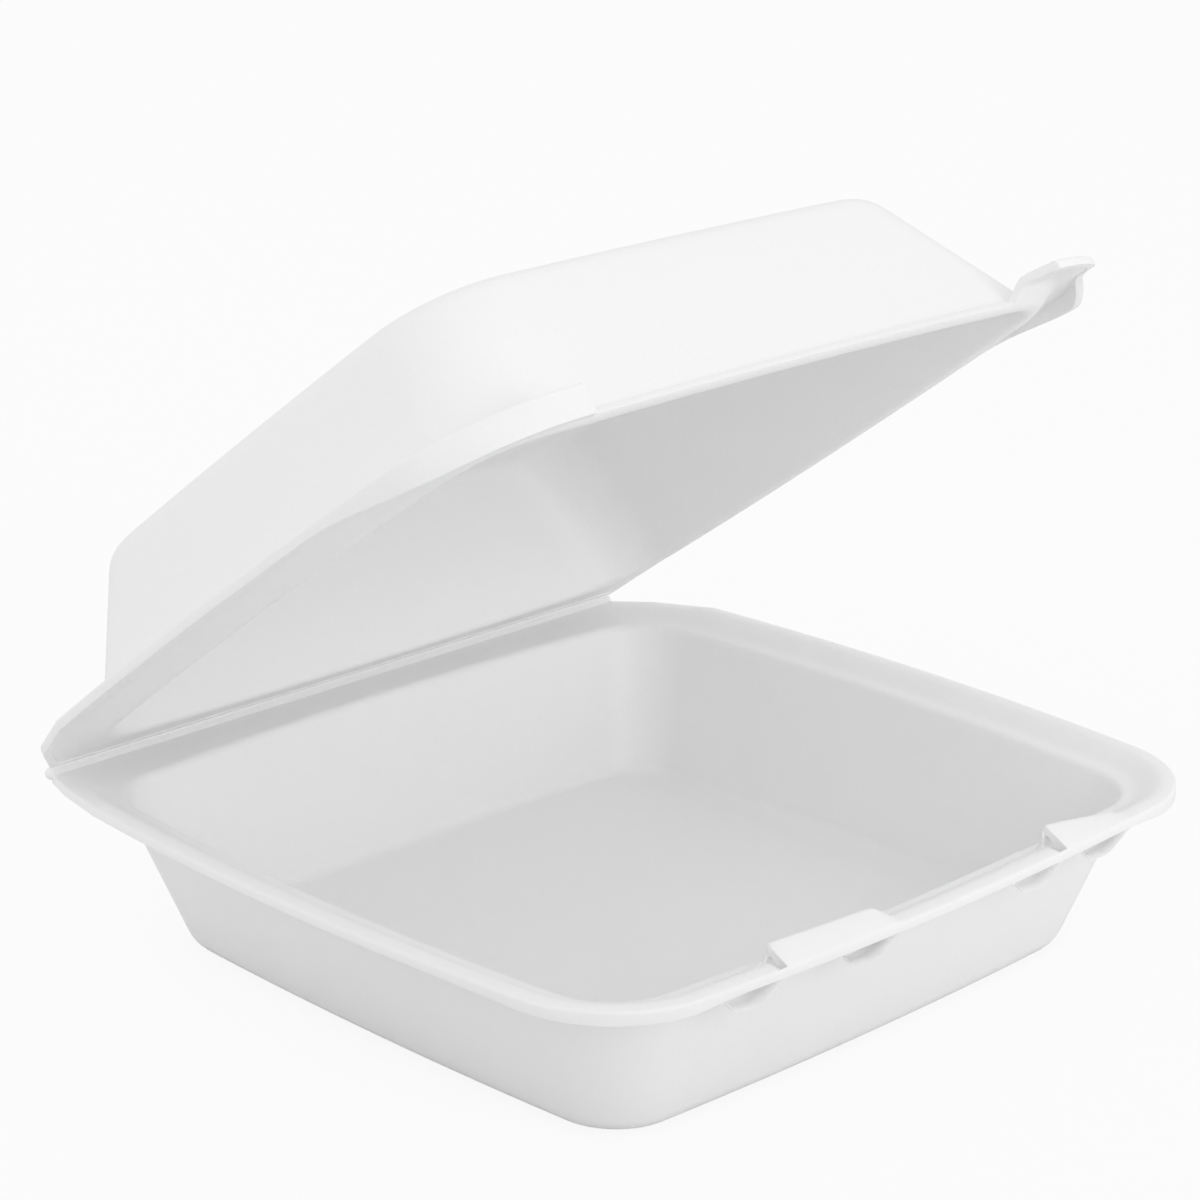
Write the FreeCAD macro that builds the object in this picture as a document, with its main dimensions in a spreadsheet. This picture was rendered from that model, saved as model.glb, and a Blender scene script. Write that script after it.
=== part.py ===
import FreeCAD, Part
import math
import os

import Sketcher

# Hinged food container, thermoformed from one foam sheet: a square tray and a lid of
# the same outline, joined along a pressed fold at the back. Millimetres. The origin is
# the middle of the tray's underside, +Z is up and -Y is the front, with the latches.
# The lid is drawn closed and then swung open about the fold.

SIZES = {
    # Foam sheet
    "sheet_gauge": 2.2,
    "wall_gauge": 2.35,
    # Tray rim, seen from above: four bowed sides and four round corners
    "rim_width": 235.0,
    "rim_depth": 220.0,
    "side_bow": 7.0,
    "end_bow": 6.0,
    "rim_corner": 33.0,
    # Tray rim, in section, from the mouth outwards
    "crease_level": 42.0,
    "crease_inset": 10.5,
    "ridge_rise": 4.0,
    "ridge_inset": 4.3,
    "lip_fall": 0.5,
    "wall_inset": 14.0,
    # Height of the rim's turned down edge, along the sides and at the front
    "tray_edge": 2.2,
    "tray_front_edge": 3.4,
    "lid_edge": 2.6,
    "lid_front_edge": 7.6,
    "edge_fade": 50.0,
    # Tray base
    "base_width": 178.0,
    "base_depth": 169.0,
    "base_bow": 3.0,
    "base_corner": 17.0,
    "floor_round": 5.0,
    # Hinge fold
    "hinge_setback": 0.5,
    "hinge_half": 102.0,
    "bead_radius": 1.7,
    "bead_overhang": 1.5,
    "fold_clearance": 0.3,
    # Where the raised rim starts to run out towards the fold
    "runout_start": 76.0,
    "runout_middle": 97.0,
    # Shares of the rim's height left halfway along a run-out and at the fold
    "runout_share": 0.5,
    "runout_end_share": 0.025,
    "lid_runout_share": 0.7,
    "lid_runout_end_share": 0.25,
    # Front latches of the tray: hoods of unlike length, each with a scoop on either hand
    "left_latch_place": 41.0,
    "left_latch_half": 18.0,
    "right_latch_place": 55.5,
    "right_latch_half": 13.0,
    "latch_rise": 3.8,
    "latch_ramp": 5.0,
    "latch_inset": 8.0,
    "latch_seat": 0.6,
    "latch_tip": 1.2,
    "scoop_gauge": 1.8,
    "scoop_inset": 5.0,
    "scoop_drop": 7.0,
    "scoop_run": 16.0,
    "scoop_middle_share": 0.8,
    "scoop_overlap": 14.0,
    # Lid
    "rim_clearance": 0.5,
    "skirt_clearance": 0.9,
    "lid_rise": 45.5,
    "lid_top_width": 169.0,
    "lid_top_depth": 171.0,
    "lid_top_setback": 5.5,
    "lid_top_bow": 3.0,
    "lid_top_corner": 24.0,
    "lid_round": 6.0,
    "notch_half": 80.0,
    "ledge_inset": 9.0,
    # Lift tab on the lid's front right corner
    "tab_reach": 4.7,
    "tab_width": 18.0,
    "tab_droop": 0.8,
    "tab_middle_depth": 100.5,
    "tab_end_aside": 106.5,
    "tab_end_depth": 93.5,
    # How far the lid stands open
    "open_angle": 36.7,
}

SHEET_NAME = "Sizes"

doc = FreeCAD.newDocument("hinged_container")
sheet = doc.addObject("Spreadsheet::Sheet", SHEET_NAME)
for row, (alias, size) in enumerate(SIZES.items(), start=1):
    sheet.set(f"A{row}", alias)
    sheet.set(f"B{row}", str(size))
    sheet.setAlias(f"B{row}", alias)
doc.recompute()


def cell(alias):
    """The expression that reads one size."""
    return f"{SHEET_NAME}.{alias}"


def amount(expression):
    """The number that an expression on the sizes gives."""
    return float(sheet.evalExpression(expression))


def bow_radius(chord, bow):
    """Radius of the arc that rises by bow over a chord of the given full length."""
    return f"((({chord}) / 2) ^ 2 + ({bow}) ^ 2) / (2 * ({bow}))"


def bowed_square(width, depth, side_bow, end_bow, corner, setback="0"):
    """Expressions of a bowed, round-cornered outline: half sizes, arc radii and setback."""
    return {
        "setback": setback,
        "half_width": f"({width}) / 2",
        "half_depth": f"({depth}) / 2",
        "side_radius": bow_radius(f"({depth}) - 2 * ({end_bow})", side_bow),
        "end_radius": bow_radius(f"({width}) - 2 * ({side_bow})", end_bow),
        "corner": corner,
    }


def drawn_in(outline, inset):
    """The expressions of an outline drawn in by inset all round."""
    drawn = {key: f"({value} - {inset})" for key, value in outline.items()}
    return dict(drawn, setback=outline["setback"])


RIM = bowed_square(cell("rim_width"), cell("rim_depth"), cell("side_bow"), cell("end_bow"),
                   cell("rim_corner"))
BASE = bowed_square(cell("base_width"), cell("base_depth"), cell("base_bow"), cell("base_bow"),
                    cell("base_corner"))
LID_TOP = bowed_square(cell("lid_top_width"), cell("lid_top_depth"), cell("lid_top_bow"),
                       cell("lid_top_bow"), cell("lid_top_corner"), cell("lid_top_setback"))


def new_body(label):
    body = doc.addObject("PartDesign::Body", label)
    body.Label = label
    return body


def new_sketch(body, name, role):
    """A sketch on one of the body's own origin planes."""
    sketch = body.newObject("Sketcher::SketchObject", name)
    plane = [item for item in body.Origin.OriginFeatures if item.Role == role][0]
    sketch.AttachmentSupport = [(plane, "")]
    sketch.MapMode = "FlatFace"
    return sketch


def bound(sketch, kind, where, expression):
    """Add one dimension to a sketch and bind it to the size sheet."""
    index = sketch.addConstraint(Sketcher.Constraint(kind, *where, amount(expression)))
    sketch.setExpression(f"Constraints[{index}]", expression)


def arc_between(centre, radius, start, end):
    circle = Part.Circle(FreeCAD.Vector(centre[0], centre[1], 0), FreeCAD.Vector(0, 0, 1), radius)
    return Part.ArcOfCircle(circle, start, end)


def ring(body, name, outline, inset, level):
    """The outline drawn in by inset at a level: eight tangent arcs, square to both axes."""
    size = {key: amount(value) for key, value in outline.items()}
    inset_now = amount(inset)
    side = size["side_radius"] - inset_now
    end = size["end_radius"] - inset_now
    corner = size["corner"] - inset_now
    side_x = size["half_width"] - size["side_radius"]
    end_y = size["half_depth"] - size["end_radius"]
    apart = math.hypot(side_x, end_y)
    reach = ((side - corner) ** 2 - (end - corner) ** 2 + apart ** 2) / (2 * apart)
    rise = math.sqrt((side - corner) ** 2 - reach ** 2)
    along = (-side_x / apart, end_y / apart)
    corner_x = side_x + along[0] * reach - along[1] * rise
    corner_y = along[1] * reach + along[0] * rise
    low = math.atan2(corner_y, corner_x - side_x)
    high = math.atan2(corner_y - end_y, corner_x)
    quarter = math.pi / 2
    sketch = new_sketch(body, name, "XY_Plane")
    sketch.setExpression("AttachmentOffset.Base.z", level)
    sketch.setExpression("AttachmentOffset.Base.y", outline["setback"])
    sketch.addGeometry([
        arc_between((side_x, 0), side, -low, low),
        arc_between((corner_x, corner_y), corner, low, high),
        arc_between((0, end_y), end, high, 2 * quarter - high),
        arc_between((-corner_x, corner_y), corner, 2 * quarter - high, 2 * quarter - low),
        arc_between((-side_x, 0), side, 2 * quarter - low, 2 * quarter + low),
        arc_between((-corner_x, -corner_y), corner, 2 * quarter + low, 2 * quarter + high),
        arc_between((0, -end_y), end, 2 * quarter + high, 4 * quarter - high),
        arc_between((corner_x, -corner_y), corner, 4 * quarter - high, 4 * quarter - low),
    ], False)
    for index in range(8):
        sketch.addConstraint(Sketcher.Constraint("Tangent", index, 2, (index + 1) % 8, 1))
    for index in (0, 4):
        sketch.addConstraint(Sketcher.Constraint("PointOnObject", index, 3, -1))
        bound(sketch, "Radius", (index,), f"{outline['side_radius']} - ({inset})")
    for index in (2, 6):
        sketch.addConstraint(Sketcher.Constraint("PointOnObject", index, 3, -2))
        bound(sketch, "Radius", (index,), f"{outline['end_radius']} - ({inset})")
    for index in (1, 3, 5, 7):
        bound(sketch, "Radius", (index,), f"{outline['corner']} - ({inset})")
    across = f"{outline['half_width']} - {outline['side_radius']}"
    back = f"{outline['half_depth']} - {outline['end_radius']}"
    bound(sketch, "DistanceX", (-1, 1, 0, 3), across)
    bound(sketch, "DistanceX", (-1, 1, 4, 3), f"-({across})")
    bound(sketch, "DistanceY", (-1, 1, 2, 3), back)
    bound(sketch, "DistanceY", (-1, 1, 6, 3), f"-({back})")
    return sketch


def polygon(body, name, role, offset, corners):
    """A closed polygon on an origin plane moved by offset; each corner is two expressions."""
    sketch = new_sketch(body, name, role)
    sketch.setExpression("AttachmentOffset.Base.z", offset)
    points = [FreeCAD.Vector(amount(x), amount(y), 0) for x, y in corners]
    count = len(points)
    for index in range(count):
        sketch.addGeometry(Part.LineSegment(points[index], points[(index + 1) % count]), False)
    for index in range(count):
        sketch.addConstraint(Sketcher.Constraint("Coincident", index, 2, (index + 1) % count, 1))
        bound(sketch, "DistanceX", (-1, 1, index, 1), corners[index][0])
        bound(sketch, "DistanceY", (-1, 1, index, 1), corners[index][1])
    return sketch


def loft(body, kind, name, sections, ruled=True):
    feature = body.newObject(f"PartDesign::{kind}Loft", name)
    feature.Profile = sections[0]
    feature.Sections = sections[1:]
    feature.Ruled = ruled
    return feature


def pocket_all(body, name, sketch, upwards):
    """Remove everything above or below a sketch's outline."""
    feature = body.newObject("PartDesign::Pocket", name)
    feature.Profile = sketch
    feature.Type = "ThroughAll"
    feature.Reversed = upwards
    return feature


def hooded_rim(body, name, outer, inner, foot, lip, ridge):
    """A rim of sheet, as a lid with no middle: from the ridge out to the lip, then down."""
    faces = (
        ("Additive", "top", outer, lip, ridge),
        ("Subtractive", "under", inner, f"{lip} - {GAUGE}", f"{ridge} - {GAUGE}"),
    )
    for kind, face, inset, lip_level, ridge_level in faces:
        sections = [
            ring(body, f"{name}_{face}_foot", RIM, inset, foot),
            ring(body, f"{name}_{face}_lip", RIM, inset, lip_level),
            ring(body, f"{name}_{face}_ridge", RIM, cell("ridge_inset"), ridge_level),
        ]
        loft(body, kind, f"{name}_{face}", sections)


def trimmed_foot(body, name, side_foot, front_foot):
    """Cut a rim's turned down edge to a foot that drops from the sides to the front."""
    front = f"-({RIM['half_depth']} - {cell('wall_inset')})"
    outline = polygon(body, f"{name}_line", "YZ_Plane", "0", [
        (f"-{FAR}", "0"),
        (FAR, "0"),
        (FAR, side_foot),
        (f"{front} + {cell('edge_fade')}", side_foot),
        (front, front_foot),
        (f"-{FAR}", front_foot),
    ])
    feature = pocket_all(body, name, outline, False)
    feature.Midplane = True
    return feature


# Steps in which a round between a flat face and a wall is turned
ROUND_STEPS = 2


def round_rings(body, name, outline, radius, lean, level, upwards):
    """Rings that turn a flat face at a level into a wall leaning out or in by lean."""
    turn = f"(90 deg - atan({lean}))"
    rings = []
    for step in range(ROUND_STEPS + 1):
        angle = f"{turn} * {step} / {ROUND_STEPS}"
        inset = f"({radius}) * (tan({turn} / 2) - sin({angle}))"
        rise = f"({radius}) * (1 - cos({angle}))"
        height = f"{level} + {rise}" if upwards else f"{level} - {rise}"
        rings.append(ring(body, f"{name}_{step}", outline, inset, height))
    return rings


def slab(body, name, sketch, thickness, downwards):
    feature = body.newObject("PartDesign::Pad", name)
    feature.Profile = sketch
    feature.setExpression("Length", thickness)
    feature.Reversed = downwards
    return feature


def mirrored(body, name, features):
    """The features again on the other side of the container's middle plane."""
    feature = body.newObject("PartDesign::Mirrored", name)
    plane = [item for item in body.Origin.OriginFeatures if item.Role == "YZ_Plane"][0]
    feature.Originals = features
    feature.MirrorPlane = (plane, [""])
    body.Tip = feature
    return feature


def side_at(depth, inset):
    """Half width of the rim outline, drawn in by inset, at a distance behind the middle."""
    radius = RIM["side_radius"]
    return (f"{RIM['half_width']} - ({radius})"
            f" + sqrt((({radius}) - ({inset})) ^ 2 - ({depth}) ^ 2)")


GAUGE = cell("sheet_gauge")
CREASE = cell("crease_level")
RIDGE = f"({CREASE} + {cell('ridge_rise')})"
LIP = f"({RIDGE} - {cell('lip_fall')})"
HINGE_Y = f"({RIM['half_depth']} + {cell('hinge_setback')})"
# The slope between crease and ridge, and how far its two faces shift sideways
SLOPE = f"({cell('ridge_rise')} / ({cell('crease_inset')} - {cell('ridge_inset')}))"
SHIFT = f"({GAUGE} * (sqrt(1 + {SLOPE} ^ 2) - 1) / {SLOPE})"
LEAN = (f"((({cell('rim_width')} - {cell('base_width')}) / 2"
        f" - {cell('wall_inset')} + {cell('wall_gauge')}) / {CREASE})")
LID_LEAN = (f"((({cell('rim_width')} - {cell('lid_top_width')}) / 2"
            f" - {cell('wall_inset')} + {cell('wall_gauge')}) / {cell('lid_rise')})")
START = cell("runout_start")
MIDDLE = cell("runout_middle")
FAR = "200"


def front_at(aside, inset):
    """Depth of the rim's front edge, drawn in by inset, at a distance from the middle."""
    radius = RIM["end_radius"]
    return (f"-({RIM['half_depth']} - ({radius})"
            f" + sqrt((({radius}) - ({inset})) ^ 2 - ({aside}) ^ 2))")


def rim_section(body, name, depth, edge, share):
    """The raised rim cut square to its run at a depth: a bent strip of sheet."""
    inner = f"({edge}) - {cell('crease_inset')}"
    crest = f"({edge}) - {cell('ridge_inset')}"
    ridge = f"({CREASE} + {cell('ridge_rise')} * {share})"
    lip = f"({CREASE} + ({cell('ridge_rise')} - {cell('lip_fall')}) * {share})"
    return polygon(body, name, "XZ_Plane", f"-({depth})", [
        (inner, f"{CREASE} - {GAUGE}"),
        (crest, f"{ridge} - {GAUGE}"),
        (edge, f"{lip} - {GAUGE}"),
        (edge, lip),
        (crest, ridge),
        (inner, CREASE),
    ])


# Base tray

tray = new_body("base_tray")

FRONT_FOOT = f"{LIP} - {cell('tray_front_edge')}"
hooded_rim(tray, "rim", "0", GAUGE, FRONT_FOOT, LIP, RIDGE)
trimmed_foot(tray, "rim_foot", f"{LIP} - {cell('tray_edge')}", FRONT_FOOT)
slope_sections = [
    ring(tray, "slope_foot", RIM, f"{cell('crease_inset')} - {SHIFT}", f"{CREASE} - {GAUGE}"),
    ring(tray, "slope_head", RIM, f"{cell('ridge_inset')} - {SHIFT}", f"{RIDGE} - {GAUGE}"),
]
loft(tray, "Additive", "rim_slope", slope_sections)

rear_area = [
    (f"-{FAR}", START), (FAR, START), (FAR, FAR), (f"-{FAR}", FAR),
]
pocket_all(tray, "rear_opening", polygon(tray, "rear_area", "XY_Plane", "0", rear_area), True)

FOOT_ROUND = f"{cell('floor_round')} + {GAUGE}"
wall_sections = round_rings(tray, "foot", BASE, FOOT_ROUND, LEAN, "0", True)
wall_sections.append(ring(tray, "wall_head", RIM, f"{cell('wall_inset')} - {cell('wall_gauge')}",
                          CREASE))
loft(tray, "Additive", "wall", wall_sections)

side_start = side_at(START, "0")
side_middle = f"(({side_start}) + {cell('hinge_half')}) / 2"


def fold_web(body, name, level, back_edge, back, downwards):
    """The flat web between the run-outs of the rim, from the rear wall to the fold."""
    corners = [(back_edge, back), (side_middle, MIDDLE), (side_start, START)]
    right = [(f"{edge} - {cell('crease_inset')}", depth) for edge, depth in corners]
    left = [(f"-({x})", depth) for x, depth in reversed(right)]
    outline = polygon(body, f"{name}_outline", "XY_Plane", level, right + left)
    return slab(body, name, outline, GAUGE, downwards)


fold_web(tray, "tray_web", CREASE, cell("hinge_half"), HINGE_Y, True)

runout_sections = [
    rim_section(tray, "runout_front", START, side_start, "1"),
    rim_section(tray, "runout_mid", MIDDLE, side_middle, cell("runout_share")),
    rim_section(tray, "runout_back", HINGE_Y, cell("hinge_half"), cell("runout_end_share")),
]
runout = loft(tray, "Additive", "rim_runout", runout_sections)
mirrored(tray, "rim_runouts", [runout])

bead_sketch = new_sketch(tray, "bead_outline", "YZ_Plane")
bead_centre = FreeCAD.Vector(amount(HINGE_Y), amount(CREASE), 0)
bead_sketch.addGeometry(Part.Circle(bead_centre, FreeCAD.Vector(0, 0, 1),
                                    amount(cell("bead_radius"))), False)
bound(bead_sketch, "DistanceX", (-1, 1, 0, 3), HINGE_Y)
bound(bead_sketch, "DistanceY", (-1, 1, 0, 3), CREASE)
bound(bead_sketch, "Radius", (0,), cell("bead_radius"))
bead = tray.newObject("PartDesign::Pad", "fold_bead")
bead.Profile = bead_sketch
bead.Midplane = True
bead.setExpression("Length", f"2 * ({cell('hinge_half')} + {cell('bead_overhang')})")

FLOOR = drawn_in(BASE, f"({cell('wall_gauge')} - {GAUGE} * {LEAN})")
cavity_sections = round_rings(tray, "floor", FLOOR, cell("floor_round"), LEAN, GAUGE, True)
cavity_sections.append(ring(tray, "mouth_line", RIM, cell("wall_inset"), CREASE))
loft(tray, "Subtractive", "cavity", cavity_sections)
mouth_sections = [
    ring(tray, "crease_line", RIM, cell("crease_inset"), CREASE),
    ring(tray, "ridge_line", RIM, cell("ridge_inset"), RIDGE),
]
loft(tray, "Subtractive", "mouth", mouth_sections)


def edge_gap(body, name, start, end):
    """Cut the turned down edge away between two distances from the middle plane."""
    behind = f"{GAUGE} + {cell('latch_seat')} / 2"
    outline = polygon(body, f"{name}_area", "XY_Plane", f"{LIP} - {GAUGE}", [
        (start, front_at(start, behind)),
        (start, f"-{FAR}"),
        (end, f"-{FAR}"),
        (end, front_at(end, behind)),
    ])
    pocket_all(body, name, outline, False)


CREST = f"({RIDGE} + {cell('latch_rise')})"
UNDER_RIM = f"({LIP} - {GAUGE} + {cell('latch_seat')})"
UNDER_HOOD = f"({CREST} - {GAUGE} - {cell('latch_seat')})"


def latch_section(body, name, aside, tip, hollow):
    """A latch cut square to the front rim: its skin, or the hollow under it.

    At a tip the section draws together to the lip, its top keeping the same slope.
    """
    seat = cell("latch_seat")
    if hollow:
        front_inset, full_back = f"(-{seat})", f"({cell('latch_inset')} + {GAUGE} / 2)"
        lip, foot, crest = f"({LIP} - {GAUGE})", f"({CREASE} - {GAUGE})", UNDER_HOOD
    else:
        front_inset, full_back = seat, cell("latch_inset")
        lip, foot, crest = LIP, f"({LIP} - {GAUGE})", CREST
    back = f"({front_inset} + {cell('latch_tip')})" if tip else full_back
    top = f"{lip} + ({crest} - {lip}) * ({back} - {front_inset}) / ({full_back} - {front_inset})"
    front, inner = front_at(aside, front_inset), front_at(aside, back)
    return polygon(body, name, "YZ_Plane", aside, [
        (inner, foot), (inner, top), (front, lip), (front, foot),
    ])


def scoop_section(body, name, aside, inset, head, foot):
    """A scoop's skin cut square to the front rim: an upright strip drawn in by inset."""
    outer = front_at(aside, inset)
    inner = front_at(aside, f"({inset}) + {cell('scoop_gauge')}")
    return polygon(body, name, "YZ_Plane", aside, [
        (outer, foot), (outer, head), (inner, head), (inner, foot),
    ])


def scoop(body, name, stations):
    """A skin that comes out from behind the rim to its lip, and up, from left to right."""
    sections = [scoop_section(body, f"{name}_{number}", *station)
                for number, station in enumerate(stations)]
    loft(body, "Additive", name, sections)


SCOOP_FOOT = f"{LIP} - {cell('scoop_drop')}"
EDGE_FOOT = f"{LIP} - {GAUGE}"
EDGE_INSET = cell("latch_seat")
SCOOP_MIDDLE = f"{cell('scoop_inset')} * {cell('scoop_middle_share')}"
for side, sign in (("left", "-"), ("right", "")):
    middle = f"{sign}{cell(side + '_latch_place')}"
    half = cell(f"{side}_latch_half")
    reach = f"({half} + {cell('latch_ramp')})"
    stations = [f"{middle} - {reach}", f"{middle} - {half}", f"{middle} + {half}",
                f"{middle} + {reach}"]
    near_end = f"{middle} - {half}"
    near_start = f"{near_end} - {cell('scoop_run')}"
    far_start = f"{middle} + {half} - {cell('scoop_overlap')}"
    far_end = f"{middle} + {reach}"
    edge_gap(tray, f"{side}_near_gap", near_start, near_end)
    for hollow in (False, True):
        kind = "hollow" if hollow else "hood"
        sections = [latch_section(tray, f"{side}_{kind}_{number}", aside, number in (0, 3), hollow)
                    for number, aside in enumerate(stations)]
        loft(tray, "Subtractive" if hollow else "Additive", f"{side}_latch_{kind}", sections)
    scoop(tray, f"{side}_near_scoop", [
        (near_start, cell("scoop_inset"), UNDER_RIM, SCOOP_FOOT),
        (f"({near_start} + {near_end}) / 2", SCOOP_MIDDLE, UNDER_RIM, SCOOP_FOOT),
        (near_end, EDGE_INSET, UNDER_RIM, EDGE_FOOT),
    ])
    scoop(tray, f"{side}_far_scoop", [
        (far_start, cell("scoop_inset"), UNDER_HOOD, SCOOP_FOOT),
        (f"{middle} + {half}", SCOOP_MIDDLE, UNDER_HOOD, SCOOP_FOOT),
        (far_end, EDGE_INSET, UNDER_RIM, EDGE_FOOT),
    ])


# Lid, drawn closed

lid = new_body("lid")

TOP = f"({CREASE} + {cell('lid_rise')})"
LID_CREASE = f"({CREASE} + {cell('rim_clearance')})"
LID_RIDGE = f"({RIDGE} + {cell('rim_clearance')})"
LID_LIP = f"({LIP} + {cell('rim_clearance')})"
LID_TOP_LIP = f"({LID_LIP} + {GAUGE})"
LID_FOOT = f"({LID_TOP_LIP} - {cell('lid_front_edge')})"
LID_FOLD = f"({CREASE} + {cell('fold_clearance')})"
FOLD_EDGE = f"({HINGE_Y} - {cell('bead_radius')} - {cell('fold_clearance')})"

hooded_rim(lid, "cap", f"(-{cell('skirt_clearance')} - {GAUGE})", f"(-{cell('skirt_clearance')})",
           LID_FOOT, LID_TOP_LIP, f"{LID_RIDGE} + {GAUGE}")
trimmed_foot(lid, "cap_foot", f"{LID_TOP_LIP} - {cell('lid_edge')}", LID_FOOT)
channel_sections = [
    ring(lid, "channel_foot", RIM, cell("crease_inset"), LID_CREASE),
    ring(lid, "channel_head", RIM, cell("ridge_inset"), LID_RIDGE),
    ring(lid, "channel_top", RIM, cell("ridge_inset"), f"{LID_RIDGE} + {GAUGE}"),
]
loft(lid, "Additive", "channel", channel_sections)
funnel_sections = [
    ring(lid, "funnel_foot", RIM, f"{cell('crease_inset')} + {SHIFT}", f"{LID_CREASE} + {GAUGE}"),
    ring(lid, "funnel_head", RIM, f"{cell('ridge_inset')} + {SHIFT}", f"{LID_RIDGE} + {GAUGE}"),
]
loft(lid, "Subtractive", "funnel", funnel_sections)
pocket_all(lid, "lid_rear_opening", polygon(lid, "lid_rear_area", "XY_Plane", "0", rear_area), True)

DOME_ROUND = f"{cell('lid_round')} + {GAUGE}"
dome_sections = round_rings(lid, "dome_round", LID_TOP, DOME_ROUND, LID_LEAN, TOP, False)
dome_sections.append(ring(lid, "dome_foot", RIM, f"{cell('wall_inset')} - {cell('wall_gauge')}",
                          LID_CREASE))
loft(lid, "Additive", "dome", dome_sections)

LID_BACK_EDGE = f"({cell('hinge_half')} - {GAUGE})"
fold_web(lid, "lid_web", LID_FOLD, LID_BACK_EDGE, FOLD_EDGE, False)


def channel_section(body, name, depth, edge, share):
    """The lid's channel and skirt cut square to their run at a depth."""
    inner = f"({edge}) - {cell('crease_inset')}"
    crest = f"({edge}) - {cell('ridge_inset')}"
    within = f"({edge}) + {cell('skirt_clearance')}"
    outside = f"({within}) + {GAUGE}"
    ridge = f"({LID_CREASE} + {cell('ridge_rise')} * {share})"
    lip = f"({ridge} - {cell('lip_fall')})"
    foot = f"({lip} + {GAUGE} - {cell('lid_edge')})"
    return polygon(body, name, "XZ_Plane", f"-({depth})", [
        (inner, LID_CREASE),
        (crest, ridge),
        (within, lip),
        (within, foot),
        (outside, foot),
        (outside, f"({lip}) + {GAUGE}"),
        (crest, f"({ridge}) + {GAUGE}"),
        (inner, f"{LID_CREASE} + {GAUGE}"),
    ])


lid_runout_sections = [
    channel_section(lid, "lid_runout_front", START, side_start, "1"),
    channel_section(lid, "lid_runout_mid", MIDDLE, side_middle, cell("lid_runout_share")),
    channel_section(lid, "lid_runout_back", FOLD_EDGE, LID_BACK_EDGE,
                    cell("lid_runout_end_share")),
]
lid_runout = loft(lid, "Additive", "lid_runout", lid_runout_sections)
mirrored(lid, "lid_runouts", [lid_runout])

CEILING = drawn_in(LID_TOP, cell("wall_gauge"))
lid_cavity_sections = round_rings(lid, "ceiling", CEILING, cell("lid_round"), LID_LEAN,
                                  f"{TOP} - {GAUGE}", False)
lid_cavity_sections.append(ring(lid, "lid_mouth_line", RIM, cell("wall_inset"), CREASE))
loft(lid, "Subtractive", "lid_cavity", lid_cavity_sections)


def front_notch(body, name, half, inset):
    """Area in front of the rim drawn in by inset, between two straight ends."""
    sketch = new_sketch(body, name, "XY_Plane")
    reach = amount(half)
    radius = amount(f"{RIM['end_radius']} - ({inset})")
    centre_y = -amount(f"{RIM['half_depth']} - {RIM['end_radius']}")
    swing = math.asin(reach / radius)
    edge = centre_y - radius * math.cos(swing)
    front = -amount(FAR)
    points = [FreeCAD.Vector(x, y, 0) for x, y in
              ((reach, edge), (reach, front), (-reach, front), (-reach, edge))]
    down = 1.5 * math.pi
    sketch.addGeometry([
        arc_between((0, centre_y), radius, down - swing, down + swing),
        Part.LineSegment(points[0], points[1]),
        Part.LineSegment(points[1], points[2]),
        Part.LineSegment(points[2], points[3]),
    ], False)
    for first, first_end, second, second_end in ((0, 2, 1, 1), (1, 2, 2, 1), (2, 2, 3, 1),
                                                 (3, 2, 0, 1)):
        joint = (first, first_end, second, second_end)
        sketch.addConstraint(Sketcher.Constraint("Coincident", *joint))
    sketch.addConstraint(Sketcher.Constraint("PointOnObject", 0, 3, -2))
    sketch.addConstraint(Sketcher.Constraint("Vertical", 3))
    bound(sketch, "DistanceY", (-1, 1, 0, 3), f"-({RIM['half_depth']} - {RIM['end_radius']})")
    bound(sketch, "Radius", (0,), f"{RIM['end_radius']} - ({inset})")
    bound(sketch, "DistanceX", (-1, 1, 1, 1), half)
    bound(sketch, "DistanceX", (-1, 1, 1, 2), half)
    bound(sketch, "DistanceX", (-1, 1, 3, 2), f"-({half})")
    bound(sketch, "DistanceY", (-1, 1, 1, 2), f"-({FAR})")
    bound(sketch, "DistanceY", (-1, 1, 2, 2), f"-({FAR})")
    return sketch


notch = front_notch(lid, "notch_area", cell("notch_half"), cell("ledge_inset"))
pocket_all(lid, "front_notch", notch, True)

# Lift tab: past the notch's right end the rim has no skirt, and its flat top runs on outwards
TAB_START = cell("notch_half")
TAB_MIDDLE = f"{TAB_START} + {cell('tab_width')}"
TAB_END = cell("tab_end_aside")
TAB_REACH = front_at(TAB_START, f"(-{cell('tab_reach')})")
TAB_MIDDLE_INNER = f"-{cell('tab_middle_depth')}"
TAB_END_INNER = f"-{cell('tab_end_depth')}"
tab_area = polygon(lid, "tab_area", "XY_Plane", LID_LIP, [
    (f"{TAB_START} - {GAUGE}", front_at(TAB_START, "0")),
    (f"{TAB_START} - {GAUGE}", f"-{FAR}"),
    (TAB_END, f"-{FAR}"),
    (TAB_END, TAB_END_INNER),
    (TAB_MIDDLE, TAB_MIDDLE_INNER),
])
pocket_all(lid, "tab_gap", tab_area, False)


def tab_section(body, name, aside, inner, outer, droop):
    """The flat tab cut square to its run: a strip of sheet, lower at its outer edge."""
    return polygon(body, name, "YZ_Plane", aside, [
        (inner, LID_LIP),
        (inner, LID_TOP_LIP),
        (outer, f"{LID_TOP_LIP} - ({droop})"),
        (outer, f"{LID_LIP} - ({droop})"),
    ])


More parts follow.
